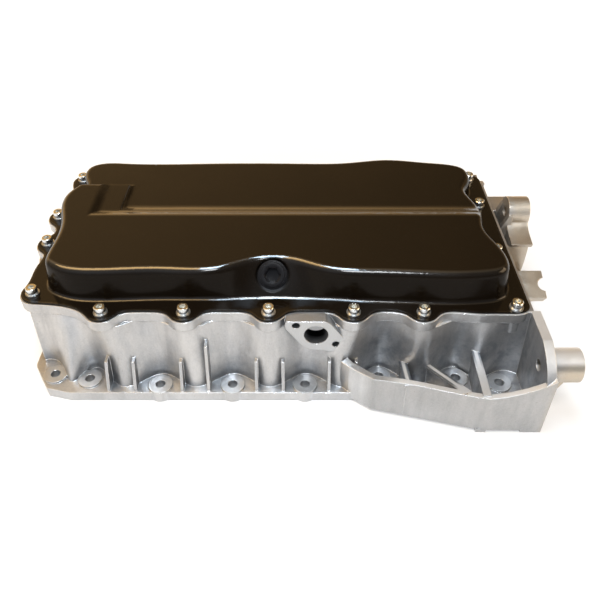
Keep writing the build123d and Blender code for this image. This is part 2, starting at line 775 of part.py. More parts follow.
with BuildPart() as drain_plug_washer:
    with BuildSketch(drain_plane):
        Circle(drain_washer_radius)
        Circle(drain_thread_radius + drain_washer_margin, mode=Mode.SUBTRACT)
    extrude(amount=drain_washer)
drain_plug_washer.part.label = "drain_plug_washer"
export_step(drain_plug_washer.part, "parts/drain_plug_washer.step")

with BuildPart() as drain_plug:
    with BuildSketch(drain_plane.offset(drain_washer)):
        Circle(drain_thread_radius)
    extrude(amount=-drain_grip)
    with BuildSketch(drain_plane.offset(drain_washer)):
        Circle(drain_flange_radius)
    extrude(amount=drain_flange)
    with BuildSketch(drain_plane.offset(drain_washer + drain_flange)):
        Circle(drain_head_radius)
    extrude(amount=drain_head)
    along_drain = Axis(drain_plane.origin, drain_plane.z_dir)
    drain_rims = drain_plug.edges().filter_by(GeomType.CIRCLE).sort_by(along_drain)
    fillet(drain_rims[-1], radius=drain_rim_round)
    with BuildSketch(drain_plane.offset(drain_washer + drain_flange + drain_head)):
        RegularPolygon(drain_socket_radius, 6)
    extrude(amount=-drain_socket_depth, mode=Mode.SUBTRACT)
drain_plug.part.label = "drain_plug"
export_step(drain_plug.part, "parts/drain_plug.step")

# ------------------------------------------------------------------ tray bolts and washers
for number, (x, y) in enumerate(tray_bolts, start=1):
    with BuildPart() as tray_washer:
        with BuildSketch(Plane.XY.offset(tray_top)):
            with Locations((x, y)):
                Circle(washer_radius)
                Circle(bolt_hole_radius, mode=Mode.SUBTRACT)
        extrude(amount=washer)
    tray_washer.part.label = f"tray_washer_{number:02d}"
    export_step(tray_washer.part, f"parts/tray_washer_{number:02d}.step")
    with BuildPart() as tray_bolt:
        with BuildSketch(Plane.XY.offset(tray_top + washer)):
            with Locations((x, y)):
                Circle(bolt_head_radius)
        extrude(amount=bolt_head)
        chamfer(tray_bolt.edges().group_by(Axis.Z)[-1], length=0.6)
        with BuildSketch(Plane.XY.offset(tray_top + washer)):
            with Locations((x, y)):
                Circle(bolt_shank_radius)
        extrude(amount=-(washer + sheet + seal + bolt_grip))
        with BuildSketch(Plane.XY.offset(tray_top + washer + bolt_head)):
            with Locations((x, y)):
                RegularPolygon(socket_radius, 6)
        extrude(amount=-socket_depth, mode=Mode.SUBTRACT)
    tray_bolt.part.label = f"tray_bolt_{number:02d}"
    export_step(tray_bolt.part, f"parts/tray_bolt_{number:02d}.step")
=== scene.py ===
import math

import bmesh
import bpy
from mathutils import Matrix, Vector


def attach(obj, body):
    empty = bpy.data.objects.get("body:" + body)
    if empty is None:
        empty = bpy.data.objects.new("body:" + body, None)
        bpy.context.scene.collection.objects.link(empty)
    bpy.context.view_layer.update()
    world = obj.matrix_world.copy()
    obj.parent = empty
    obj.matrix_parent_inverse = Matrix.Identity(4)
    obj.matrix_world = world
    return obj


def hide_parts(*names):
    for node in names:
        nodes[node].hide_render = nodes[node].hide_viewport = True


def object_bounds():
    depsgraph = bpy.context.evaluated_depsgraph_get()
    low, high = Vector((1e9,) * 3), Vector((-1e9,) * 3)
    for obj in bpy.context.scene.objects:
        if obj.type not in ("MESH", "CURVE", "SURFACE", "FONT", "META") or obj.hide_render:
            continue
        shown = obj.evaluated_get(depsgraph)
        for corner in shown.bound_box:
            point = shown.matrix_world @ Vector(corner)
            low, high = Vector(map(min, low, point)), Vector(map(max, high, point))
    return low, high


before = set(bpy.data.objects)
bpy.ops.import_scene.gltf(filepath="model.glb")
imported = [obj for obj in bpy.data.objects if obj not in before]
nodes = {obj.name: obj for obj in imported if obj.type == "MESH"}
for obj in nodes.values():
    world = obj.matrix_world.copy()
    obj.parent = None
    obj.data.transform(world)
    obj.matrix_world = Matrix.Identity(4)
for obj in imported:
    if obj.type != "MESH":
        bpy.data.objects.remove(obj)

cad_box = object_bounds()
scene = bpy.context.scene
scene.view_settings.view_transform = "Standard"

# Places on the pan, in metres. A pair is where an effect starts and where it is full.
table_gap = 0.0002
oil_return_face_y = -0.122
oil_return_x = 0.014
oil_return_z = 0.0645
oil_return_bore_radius = 0.0107
bolt_pad_top = 0.012
pocket_wall_y = -0.108
pocket_left_x = (0.070, 0.085)
pocket_panel_y = (-0.146, -0.152)
pocket_panel_x = (0.030, 0.050)
pocket_rim_z = (0.0385, 0.0410)
above_pads_z = (0.022, 0.024)
end_fittings_x = (0.203, 0.220)
rib_line_width = (0.0011, 0.0018)
rib_half_width = 0.0042
soft_steps_left_x = (-0.229, -0.221)
soft_steps_right_x = (-0.140, -0.158)
soft_steps_y = (0.026, 0.040)

# Centre lines of the pocket's ribs, from the wall to the panel.
rib_lines = (
    ((0.093, -0.112), (0.092, -0.160)),
    ((0.109, -0.112), (0.140, -0.169)),
    ((0.158, -0.108), (0.155, -0.173)),
)

# Drain plug, in millimetres; heights are along its own axis, from the face of its seat.
plug_seat = (-24.0, -79.4, 97.1)
plug_lean = 50.0
plug_segments = 96
socket_flat = 6.0
socket_floor_flat = 5.2
socket_floor = -0.6
collar_top = 6.0
collar_radius = 11.0
flange_top = 4.0
flange_radius = 13.0
flange_bottom = 1.2
thread_pitch = 1.5
thread_crest = 7.0
thread_root = 6.15
thread_top = -0.3
thread_end = -11.0
plug_end = -11.8
rings_per_turn = 10


# ---------------------------------------------------------------- camera and light
def make_camera():
    """Camera in front of the pan, looking down on it."""
    data = bpy.data.cameras.new("camera")
    data.sensor_width = 36.0
    data.lens = 39.0
    data.clip_start = 0.01
    data.clip_end = 20.0
    camera = bpy.data.objects.new("camera", data)
    camera.location = (0.0, -0.526, 0.456)
    camera.rotation_euler = (math.radians(49.0), 0.0, 0.0)
    scene.collection.objects.link(camera)
    scene.camera = camera


def make_lamp(name, place, target, size, power, colour):
    """Soft lamp that faces a target; size is its width and depth."""
    data = bpy.data.lights.new(name, "AREA")
    data.shape = "RECTANGLE"
    data.size = size[0]
    data.size_y = size[1]
    data.energy = power
    data.color = colour
    lamp = bpy.data.objects.new(name, data)
    lamp.location = place
    aim = Vector(target) - Vector(place)
    # A lamp straight above its target already faces it, with its width along X.
    if math.hypot(aim.x, aim.y) > 1e-6:
        lamp.rotation_euler = aim.to_track_quat("-Z", "Y").to_euler()
    scene.collection.objects.link(lamp)


def make_lamps():
    """Cool lamp in front, cool and golden panels overhead, and a warm one at the right."""
    make_lamp("front", (0.05, -0.70, 1.25), (0.0, 0.0, 0.05), (0.34, 0.30), 9.0, (0.93, 0.965, 1.0))
    make_lamp("bounce", (-0.05, -0.10, 1.20), (-0.05, -0.10, 0.10), (0.30, 0.50), 6.0, (0.62, 0.81, 1.0))
    make_lamp("ceiling", (-0.75, -0.08, 1.15), (-0.75, -0.08, 0.10), (1.1, 0.55), 6.4, (1.0, 0.63, 0.24))
    make_lamp("side", (1.2, -0.2, 0.6), (0.05, 0.0, 0.05), (0.7, 0.5), 4.8, (1.0, 0.74, 0.46))


def make_world():
    """Plain surroundings: cool and bright in front, a warm brown wall behind, darker to the right."""
    world = bpy.data.worlds.new("studio")
    scene.world = world
    world.use_nodes = True
    tree = world.node_tree
    tree.nodes.clear()
    out = tree.nodes.new("ShaderNodeOutputWorld")
    background = tree.nodes.new("ShaderNodeBackground")
    place = tree.nodes.new("ShaderNodeTexCoord")
    at = split_axes(tree, place.outputs["Generated"])
    ramp = tree.nodes.new("ShaderNodeValToRGB")
    cool_front, brown_behind = ramp.color_ramp.elements
    cool_front.position = 0.12
    cool_front.color = (0.68, 0.74, 0.82, 1.0)
    brown_behind.position = 0.80
    brown_behind.color = (0.42, 0.26, 0.11, 1.0)
    warm_above = ramp.color_ramp.elements.new(0.45)
    warm_above.color = (0.60, 0.50, 0.36, 1.0)
    tree.links.new(add_range(tree, at["Y"], -1.0, 1.0, 0.0, 1.0), ramp.inputs["Fac"])
    tree.links.new(ramp.outputs["Color"], background.inputs["Color"])
    side = add_range(tree, at["X"], -0.32, 0.32, 1.36, 0.36)
    low = add_range(tree, at["Z"], 0.10, 0.42, 3.9, 1.0)
    behind = add_range(tree, at["Y"], 0.2, 0.5, 0.0, 1.0)
    lift = times(tree, add_math(tree, "SUBTRACT", low, 1.0), behind)
    strength = times(tree, side, add_math(tree, "ADD", lift, 1.0))
    tree.links.new(strength, background.inputs["Strength"])
    tree.links.new(background.outputs[0], out.inputs[0])


def make_table_material():
    """White table: plain to the light, and glowing to the eye and in reflections, more so further off."""
    material = bpy.data.materials.new("white_table")
    material.use_nodes = True
    tree = material.node_tree
    tree.nodes.clear()
    out = tree.nodes.new("ShaderNodeOutputMaterial")
    matt = tree.nodes.new("ShaderNodeBsdfDiffuse")
    matt.inputs["Color"].default_value = (0.62, 0.62, 0.62, 1.0)
    glow = tree.nodes.new("ShaderNodeEmission")
    glow.inputs["Color"].default_value = (1.0, 1.0, 1.0, 1.0)
    place = tree.nodes.new("ShaderNodeTexCoord")
    away = add_vector_math(tree, "LENGTH", place.outputs["Object"])
    strength = add_range(tree, away.outputs["Value"], 0.30, 1.1, 0.36, 0.88)
    tree.links.new(strength, glow.inputs["Strength"])
    both = tree.nodes.new("ShaderNodeAddShader")
    path = tree.nodes.new("ShaderNodeLightPath")
    seen = add_math(tree, "MAXIMUM", path.outputs["Is Camera Ray"], path.outputs["Is Glossy Ray"])
    mix = tree.nodes.new("ShaderNodeMixShader")
    tree.links.new(matt.outputs[0], both.inputs[0])
    tree.links.new(glow.outputs[0], both.inputs[1])
    tree.links.new(seen, mix.inputs[0])
    tree.links.new(matt.outputs[0], mix.inputs[1])
    tree.links.new(both.outputs[0], mix.inputs[2])
    tree.links.new(mix.outputs[0], out.inputs[0])
    return material


def make_floor():
    """White table that the pan lies on."""
    mesh = bpy.data.meshes.new("floor")
    bm = bmesh.new()
    bmesh.ops.create_grid(bm, x_segments=1, y_segments=1, size=6.0)
    bmesh.ops.translate(bm, verts=bm.verts, vec=(0.0, 0.0, cad_box[0].z - table_gap))
    bm.to_mesh(mesh)
    bm.free()
    floor = bpy.data.objects.new("floor", mesh)
    scene.collection.objects.link(floor)
    floor.data.materials.append(make_table_material())


# ---------------------------------------------------------------- node helpers
def split_axes(tree, vector):
    """The X, Y and Z of a vector socket."""
    node = tree.nodes.new("ShaderNodeSeparateXYZ")
    tree.links.new(vector, node.inputs[0])
    return node.outputs


def add_noise(tree, scale, detail, roughness, vector):
    """Noise value on a vector socket."""
    noise = tree.nodes.new("ShaderNodeTexNoise")
    noise.inputs["Scale"].default_value = scale
    noise.inputs["Detail"].default_value = detail
    noise.inputs["Roughness"].default_value = roughness
    tree.links.new(vector, noise.inputs["Vector"])
    return noise.outputs["Fac"]


def add_range(tree, value, low, high, new_low, new_high):
    """Maps a value from one range to another and clamps it."""
    node = tree.nodes.new("ShaderNodeMapRange")
    node.inputs["From Min"].default_value = low
    node.inputs["From Max"].default_value = high
    node.inputs["To Min"].default_value = new_low
    node.inputs["To Max"].default_value = new_high
    tree.links.new(value, node.inputs["Value"])
    return node.outputs["Result"]


def add_math(tree, operation, first, second=0.0):
    """Math node; each side is a socket or a number."""
    node = tree.nodes.new("ShaderNodeMath")
    node.operation = operation
    for socket, side in zip(node.inputs, (first, second)):
        if isinstance(side, (int, float)):
            socket.default_value = side
        else:
            tree.links.new(side, socket)
    return node.outputs[0]


def times(tree, first, second):
    """Product of two sockets or numbers."""
    return add_math(tree, "MULTIPLY", first, second)


def add_vector_math(tree, operation, first, second=None):
    """Vector Math node; the first side is a socket, the second a socket or a tuple."""
    node = tree.nodes.new("ShaderNodeVectorMath")
    node.operation = operation
    tree.links.new(first, node.inputs[0])
    if isinstance(second, tuple):
        node.inputs[1].default_value = second
    elif second is not None:
        tree.links.new(second, node.inputs[1])
    return node


def add_mix(tree, factor, first, second):
    """Colour mix; the colours are sockets or tuples."""
    node = tree.nodes.new("ShaderNodeMix")
    node.data_type = "RGBA"
    if isinstance(factor, (int, float)):
        node.inputs["Factor"].default_value = factor
    else:
        tree.links.new(factor, node.inputs["Factor"])
    for label, side in (("A", first), ("B", second)):
        socket = [s for s in node.inputs if s.name == label and s.type == "RGBA"][0]
        if isinstance(side, tuple):
            socket.default_value = side
        else:
            tree.links.new(side, socket)
    return [s for s in node.outputs if s.type == "RGBA"][0]


def add_bevel(tree, radius, samples=4):
    """Bevel node whose radius is a socket or a number."""
    node = tree.nodes.new("ShaderNodeBevel")
    node.samples = samples
    if isinstance(radius, (int, float)):
        node.inputs["Radius"].default_value = radius
    else:
        tree.links.new(radius, node.inputs["Radius"])
    return node.outputs["Normal"]


def add_bump(tree, height, distance, strength, skin, normal):
    """Bump from a height, on top of a normal."""
    bump = tree.nodes.new("ShaderNodeBump")
    bump.inputs["Distance"].default_value = distance
    bump.inputs["Strength"].default_value = strength
    tree.links.new(height, bump.inputs["Height"])
    tree.links.new(normal, bump.inputs["Normal"])
    tree.links.new(bump.outputs["Normal"], skin.inputs["Normal"])


def new_material(name):
    """Material with a Principled shader and an Object coordinate."""
    material = bpy.data.materials.new(name)
    material.use_nodes = True
    tree = material.node_tree
    tree.nodes.clear()
    out = tree.nodes.new("ShaderNodeOutputMaterial")
    skin = tree.nodes.new("ShaderNodeBsdfPrincipled")
    tree.links.new(skin.outputs[0], out.inputs["Surface"])
    place = tree.nodes.new("ShaderNodeTexCoord")
    return material, tree, skin, place.outputs["Object"]


# ---------------------------------------------------------------- shader groups
def new_group(name, inputs, outputs):
    """Empty shader group with named sockets, and its two ends."""
    group = bpy.data.node_groups.new(name, "ShaderNodeTree")
    for label, kind, value in inputs:
        socket = group.interface.new_socket(label, in_out="INPUT", socket_type=kind)
        if value is not None:
            socket.default_value = value
    for label, kind in outputs:
        group.interface.new_socket(label, in_out="OUTPUT", socket_type=kind)
    start = group.nodes.new("NodeGroupInput")
    end = group.nodes.new("NodeGroupOutput")
    return group, start, end


def add_group(tree, group, **values):
    """Group node with some of its inputs set."""
    node = tree.nodes.new("ShaderNodeGroup")
    node.node_tree = group
    for label, value in values.items():
        node.inputs[label].default_value = value
    return node


def make_edge_group():
    """Mask of outer edges, from the angle that a bevel turns the surface; materials lighten them as wear
    and as painted highlight.
    """
    inputs = (("Radius", "NodeSocketFloat", 0.0012), ("Gain", "NodeSocketFloat", 6.0))
    outputs = (("Mask", "NodeSocketFloat"),)
    group, start, end = new_group("edge_mask", inputs, outputs)
    threshold = 0.12
    rounded = add_bevel(group, start.outputs["Radius"])
    shape = group.nodes.new("ShaderNodeNewGeometry")
    dot = add_vector_math(group, "DOT_PRODUCT", rounded, shape.outputs["Normal"])
    turned = add_math(group, "SUBTRACT", 1.0, dot.outputs["Value"])
    gained = times(group, turned, start.outputs["Gain"])
    clear = add_math(group, "MAXIMUM", add_math(group, "SUBTRACT", gained, threshold), 0.0)
    group.links.new(add_math(group, "MINIMUM", clear, 1.0), end.inputs["Mask"])
    return group


def make_hollow_group():
    """Mask of corners and hollows, where little light gets in."""
    inputs = (
        ("Reach", "NodeSocketFloat", 0.02),
        ("Low", "NodeSocketFloat", 0.35),
        ("High", "NodeSocketFloat", 0.95),
    )
    group, start, end = new_group("hollow_mask", inputs, (("Mask", "NodeSocketFloat"),))
    shade = group.nodes.new("ShaderNodeAmbientOcclusion")
    shade.samples = 6
    shade.only_local = True
    group.links.new(start.outputs["Reach"], shade.inputs["Distance"])
    ranged = group.nodes.new("ShaderNodeMapRange")
    ranged.inputs["To Min"].default_value = 1.0
    ranged.inputs["To Max"].default_value = 0.0
    group.links.new(shade.outputs["AO"], ranged.inputs["Value"])
    group.links.new(start.outputs["Low"], ranged.inputs["From Min"])
    group.links.new(start.outputs["High"], ranged.inputs["From Max"])
    group.links.new(ranged.outputs["Result"], end.inputs["Mask"])
    return group


def make_cast_group():
    """Cast surface: fine grain height, broad stains, upright flow streaks and small pits."""
    inputs = (("Vector", "NodeSocketVector", None), ("Grain", "NodeSocketFloat", 900.0))
    outputs = [(label, "NodeSocketFloat") for label in ("Height", "Blotch", "Streak", "Pits", "Grit")]
    group, start, end = new_group("cast_skin", inputs, outputs)
    vector = start.outputs["Vector"]
    fine = add_noise(group, 900.0, 3.0, 0.6, vector)
    group.links.new(start.outputs["Grain"], fine.node.inputs["Scale"])
    broad = add_noise(group, 24.0, 5.0, 0.62, vector)
    flow = add_noise(group, 110.0, 4.0, 0.55, vector)
    drawn = add_vector_math(group, "MULTIPLY", vector, (1.0, 1.0, 0.16))
    streak = add_noise(group, 95.0, 4.0, 0.6, drawn.outputs["Vector"])
    specks = add_noise(group, 520.0, 2.0, 0.5, vector)
    height = add_math(group, "ADD", fine, times(group, flow, 2.4))
    group.links.new(height, end.inputs["Height"])
    group.links.new(add_range(group, broad, 0.36, 0.66, 0.0, 1.0), end.inputs["Blotch"])
    group.links.new(add_range(group, streak, 0.38, 0.64, 0.0, 1.0), end.inputs["Streak"])
    group.links.new(add_range(group, specks, 0.70, 0.75, 0.0, 1.0), end.inputs["Pits"])
    group.links.new(add_range(group, fine, 0.3, 0.7, 0.0, 1.0), end.inputs["Grit"])
    return group


def make_cut_group():
    """Mask of a machined plane: points at one level along an axis and near its middle."""
    inputs = (
        ("Vector", "NodeSocketVector", None),
        ("Along", "NodeSocketFloat", 0.0),
        ("Level", "NodeSocketFloat", 0.0),
        ("Reach", "NodeSocketFloat", 0.03),
        ("Middle", "NodeSocketVector", None),
    )
    outputs = (("Mask", "NodeSocketFloat"), ("Away", "NodeSocketFloat"))
    group, start, end = new_group("machined_plane", inputs, outputs)
    tolerance = 0.00012
    gap = add_math(group, "SUBTRACT", start.outputs["Along"], start.outputs["Level"])
    flat = add_math(group, "LESS_THAN", add_math(group, "ABSOLUTE", gap), tolerance)
    distance = add_vector_math(group, "DISTANCE", start.outputs["Vector"], start.outputs["Middle"])
    away = distance.outputs["Value"]
    near = add_math(group, "LESS_THAN", away, start.outputs["Reach"])
    group.links.new(times(group, flat, near), end.inputs["Mask"])
    group.links.new(away, end.inputs["Away"])
    return group


# ---------------------------------------------------------------- cast aluminium
def cast_colour(tree, place, cast, edge, hollow_group):
    """Colour of the rough casting: blotches, streaks, grit, stains, pits and bright edges, with painted
    shade in its corners and hollows.
    """
    corner = add_group(tree, hollow_group, Reach=0.012, Low=0.35, High=0.85).outputs["Mask"]
    deep = add_group(tree, hollow_group, Reach=0.06, Low=0.25, High=0.80).outputs["Mask"]
    base = add_mix(tree, cast["Blotch"], (0.43, 0.434, 0.44, 1.0), (0.55, 0.557, 0.566, 1.0))
    drawn = add_mix(tree, cast["Streak"], (0.40, 0.40, 0.40, 1.0), (0.62, 0.61, 0.60, 1.0))
    mixed = add_mix(tree, 0.38, base, drawn)
    gritty = add_mix(tree, times(tree, cast["Grit"], 0.22), mixed, (0.86, 0.86, 0.87, 1.0))
    # Painted shade: a cool dark grey in deep hollows.
    shaded = add_mix(tree, times(tree, deep, 0.18), gritty, (0.26, 0.285, 0.32, 1.0))
    # Stains at random, deepened by painted shade in hollows.
    stain = add_range(tree, add_noise(tree, 95.0, 7.0, 0.72, place), 0.44, 0.62, 0.0, 1.0)
    stain_and_shade_share = add_range(tree, deep, 0.10, 0.75, 0.10, 0.62)
    stains_and_shade = add_mix(tree, times(tree, stain, stain_and_shade_share), shaded, (0.20, 0.225, 0.27, 1.0))
    # Painted shade: dark grey in corners.
    corner_shaded = add_mix(tree, times(tree, corner, 0.55), stains_and_shade, (0.20, 0.20, 0.20, 1.0))
    pitted = add_mix(tree, times(tree, cast["Pits"], 0.5), corner_shaded, (0.28, 0.27, 0.26, 1.0))
    # Outer edges lighter: wear and painted highlight.
    return add_mix(tree, edge, pitted, (0.86, 0.86, 0.86, 1.0))


def cut_colour(tree, place, at, cut_group, rough):
    """Turned finish of the oil return face and the bolt pads, over the rough colour."""
    oil_face = add_group(tree, cut_group, Level=oil_return_face_y, Reach=0.040)
    oil_face.inputs["Middle"].default_value = (oil_return_x, oil_return_face_y, oil_return_z)
    tree.links.new(place, oil_face.inputs["Vector"])
    tree.links.new(at["Y"], oil_face.inputs["Along"])
    pads = add_group(tree, cut_group, Level=bolt_pad_top, Reach=1.0)
    tree.links.new(place, pads.inputs["Vector"])
    tree.links.new(at["Z"], pads.inputs["Along"])
    rings = tree.nodes.new("ShaderNodeTexNoise")
    rings.noise_dimensions = "1D"
    rings.inputs["Scale"].default_value = 2600.0
    rings.inputs["Detail"].default_value = 2.0
    tree.links.new(oil_face.outputs["Away"], rings.inputs["W"])
    turned = add_mix(tree, rings.outputs["Fac"], (0.40, 0.41, 0.42, 1.0), (0.60, 0.61, 0.62, 1.0))
    cut = add_math(tree, "MAXIMUM", oil_face.outputs["Mask"], times(tree, pads.outputs["Mask"], 0.6))
    return add_mix(tree, cut, rough, turned)


def bore_mask(tree, place, at):
    """Painted shade inside the oil return bore, deeper in than its machined face."""
    across = add_vector_math(tree, "MULTIPLY", place, (1.0, 0.0, 1.0))
    middle = (oil_return_x, 0.0, oil_return_z)
    from_axis = add_vector_math(tree, "DISTANCE", across.outputs["Vector"], middle)
    in_circle = add_math(tree, "LESS_THAN", from_axis.outputs["Value"], oil_return_bore_radius)
    front_half = add_math(tree, "LESS_THAN", at["Y"], -0.07)
    inwards = add_range(tree, at["Y"], oil_return_face_y + 0.0005, oil_return_face_y + 0.010, 0.0, 0.97)
    return times(tree, times(tree, in_circle, front_half), inwards)


def rib_distance(tree, place):
    """Distance from the nearest centre line of the three ribs in the pocket."""
    nearest = None
    for start, end in rib_lines:
        along = Vector((end[0] - start[0], end[1] - start[1], 0.0)).normalized()
        square = (-along.y, along.x, 0.0)
        side = add_vector_math(tree, "DOT_PRODUCT", place, square).outputs["Value"]
        level = square[0] * start[0] + square[1] * start[1]
        off = add_math(tree, "ABSOLUTE", add_math(tree, "SUBTRACT", side, level))
        nearest = off if nearest is None else add_math(tree, "MINIMUM", nearest, off)
    return nearest


def pocket_light_masks(tree, place, at):
    """Painted highlight on upper edges in the pocket, and painted shadow on the flanks of the ribs beside
    them.
    """
    faces = tree.nodes.new("ShaderNodeNewGeometry")
    upward = add_range(tree, split_axes(tree, faces.outputs["Normal"])["Z"], 0.6, 0.8, 0.0, 0.8)
    above_pads = add_range(tree, at["Z"], *above_pads_z, 0.0, 1.0)
    outside = add_math(tree, "LESS_THAN", at["Y"], pocket_wall_y)
    in_pocket = times(tree, outside, add_range(tree, at["X"], *pocket_left_x, 0.0, 1.0))
    upper_edge_light = times(tree, times(tree, upward, above_pads), in_pocket)
    off_rib = rib_distance(tree, place)
    under_rim = add_range(tree, at["Z"], *pocket_rim_z, 1.0, 0.0)
    on_rib = times(tree, add_math(tree, "LESS_THAN", off_rib, rib_half_width), under_rim)
    flank = times(tree, on_rib, add_range(tree, off_rib, *rib_line_width, 0.0, 1.0))
    bright = times(tree, upper_edge_light, add_math(tree, "SUBTRACT", 1.0, flank))
    rib_flank_shadow = times(tree, upper_edge_light, times(tree, flank, 1.15))
    return bright, rib_flank_shadow


def make_cast_aluminium(edge_group, hollow_group, cast_group, cut_group):
    """Grey aluminium casting with stains and streaks, dark in its corners from painted shade, bright on
    edges and cut faces, with painted shade and highlights in the pocket and painted warm light on the end
    fittings.
    """
    material, tree, skin, place = new_material("cast_aluminium")
    skin_group = add_group(tree, cast_group)
    tree.links.new(place, skin_group.inputs["Vector"])
    cast = skin_group.outputs
    at = split_axes(tree, place)
    edge = add_group(tree, edge_group, Radius=0.0013, Gain=5.0).outputs["Mask"]
    rough = cast_colour(tree, place, cast, edge, hollow_group)
    surfaced = cut_colour(tree, place, at, cut_group, rough)
    # Painted shade: the pocket's outer panel darker towards the right.
    outer = add_range(tree, at["Y"], *pocket_panel_y, 0.0, 1.0)
    rightward = add_range(tree, at["X"], *pocket_panel_x, 0.0, 0.20)
    panel = add_mix(tree, times(tree, outer, rightward), surfaced, (0.02, 0.018, 0.015, 1.0))
    # Painted highlight on the pocket's upper edges, painted shadow on the rib flanks.
    bright, rib_flank_shadow = pocket_light_masks(tree, place, at)
    ribs = add_mix(tree, rib_flank_shadow, panel, (0.21, 0.23, 0.26, 1.0))
    # Painted warm reflected light on the end fittings.
    fittings = add_range(tree, at["X"], *end_fittings_x, 0.0, 0.55)
    warm_lit = add_mix(tree, fittings, ribs, (0.66, 0.54, 0.38, 1.0))
    highlighted = add_mix(tree, bright, warm_lit, (0.72, 0.72, 0.72, 1.0))
    # Painted shade: near black inside the bore.
    bore_shaded = add_mix(tree, bore_mask(tree, place, at), highlighted, (0.01, 0.01, 0.01, 1.0))
    tree.links.new(bore_shaded, skin.inputs["Base Color"])
    metal = add_math(tree, "SUBTRACT", 0.88, times(tree, bright, 0.4))
    tree.links.new(metal, skin.inputs["Metallic"])
    roughness = add_range(tree, cast["Streak"], 0.0, 1.0, 0.42, 0.32)
    smoother = add_math(tree, "SUBTRACT", roughness, times(tree, edge, 0.08))
    tree.links.new(smoother, skin.inputs["Roughness"])
    add_bump(tree, cast["Height"], 0.0003, 0.45, skin, add_bevel(tree, 0.0012))
    return material


# ---------------------------------------------------------------- other materials
def eased_normal(tree, place):
    """Normal over rounded edges; it is turned nearly upright on the soft steps at the tray's left end."""
    at = split_axes(tree, place)
    fold_radius = 0.0035
    extra_radius = 0.0075
    inside_edge = add_range(tree, at["X"], *soft_steps_left_x, 0.0, 1.0)
    off_plateau = add_range(tree, at["X"], *soft_steps_right_x, 0.0, 1.0)
    leftward = times(tree, inside_edge, off_plateau)
    backward = add_range(tree, at["Y"], *soft_steps_y, 0.0, 1.0)
    wider = times(tree, times(tree, leftward, backward), extra_radius)
    rounded = add_bevel(tree, add_math(tree, "ADD", wider, fold_radius), samples=8)
    shallow = times(tree, leftward, times(tree, backward, 0.93))
    upward = add_range(tree, split_axes(tree, rounded)["Z"], 0.45, 0.65, 0.0, 1.0)
    share = times(tree, shallow, upward)
    kept = add_vector_math(tree, "SCALE", rounded)
    tree.links.new(add_math(tree, "SUBTRACT", 1.0, share), kept.inputs["Scale"])
    upright = tree.nodes.new("ShaderNodeCombineXYZ")
    tree.links.new(share, upright.inputs["Z"])
    eased = add_vector_math(tree, "ADD", kept.outputs["Vector"], upright.outputs["Vector"])
    return add_vector_math(tree, "NORMALIZE", eased.outputs["Vector"]).outputs["Vector"]


def make_black_enamel():
    """Glossy black enamel with a brown cast, light orange peel and fine dust; folds shine most."""
    material, tree, skin, place = new_material("black_enamel")
    peel = add_noise(tree, 210.0, 2.0, 0.5, place)
    dust = add_noise(tree, 1500.0, 2.0, 0.5, place)
    cloud = add_noise(tree, 14.0, 4.0, 0.6, place)
    specks = times(tree, add_range(tree, dust, 0.71, 0.76, 0.0, 1.0), 0.5)
    tint = add_mix(tree, cloud, (0.005, 0.0035, 0.0022, 1.0), (0.008, 0.005, 0.0026, 1.0))
    tree.links.new(add_mix(tree, specks, tint, (0.09, 0.075, 0.06, 1.0)), skin.inputs["Base Color"])
    tree.links.new(add_range(tree, cloud, 0.3, 0.7, 0.17, 0.24), skin.inputs["Roughness"])
    skin.inputs["Specular IOR Level"].default_value = 0.07
    normal = eased_normal(tree, place)
    facing = split_axes(tree, normal)
    leaning = add_range(tree, facing["Y"], -0.12, -0.26, 0.0, 1.0)
    rising = add_range(tree, facing["Z"], 0.82, 0.90, 0.0, 0.80)
    level = add_range(tree, facing["Z"], 0.45, 0.90, 0.012, 0.25)
    coat = add_math(tree, "ADD", times(tree, leaning, rising), level)
    tree.links.new(coat, skin.inputs["Coat Weight"])
    skin.inputs["Coat Roughness"].default_value = 0.09
    skin.inputs["Coat IOR"].default_value = 2.2
    add_bump(tree, peel, 0.00005, 0.10, skin, normal)
    return material


def make_plated_steel(name, low, high, top, roughness):
    """Zinc plated steel; faces that look up take a painted tint of the light from above."""
    material, tree, skin, place = new_material(name)
    grain = add_noise(tree, 1400.0, 3.0, 0.6, place)
    cloud = add_noise(tree, 260.0, 3.0, 0.6, place)
    shape = tree.nodes.new("ShaderNodeNewGeometry")
    colour = add_mix(tree, cloud, low, high)
    # Painted light: faces that look up take the top tint.
    upward = add_range(tree, split_axes(tree, shape.outputs["Normal"])["Z"], 0.5, 0.9, 0.0, 0.85)
    tree.links.new(add_mix(tree, upward, colour, top), skin.inputs["Base Color"])
    grained = add_range(tree, grain, 0.3, 0.7, roughness - 0.05, roughness + 0.07)
    tree.links.new(grained, skin.inputs["Roughness"])
    skin.inputs["Metallic"].default_value = 1.0
    add_bump(tree, grain, 0.00004, 0.3, skin, add_bevel(tree, 0.0003))
    return material


def make_black_steel(edge_group):
    """Black oxide steel, lighter on its edges from wear and a painted highlight."""
    material, tree, skin, place = new_material("black_steel")
    grain = add_noise(tree, 1600.0, 3.0, 0.6, place)
    edge = add_group(tree, edge_group, Radius=0.0004, Gain=2.0).outputs["Mask"]
    colour = add_mix(tree, grain, (0.005, 0.005, 0.006, 1.0), (0.010, 0.010, 0.012, 1.0))
    # Edges lighter: wear and painted highlight on the rims.
    tree.links.new(add_mix(tree, edge, colour, (0.13, 0.13, 0.14, 1.0)), skin.inputs["Base Color"])
    tree.links.new(add_range(tree, grain, 0.3, 0.7, 0.30, 0.42), skin.inputs["Roughness"])
    skin.inputs["Specular IOR Level"].default_value = 0.10
    add_bump(tree, grain, 0.00005, 0.25, skin, add_bevel(tree, 0.0004))
    return material


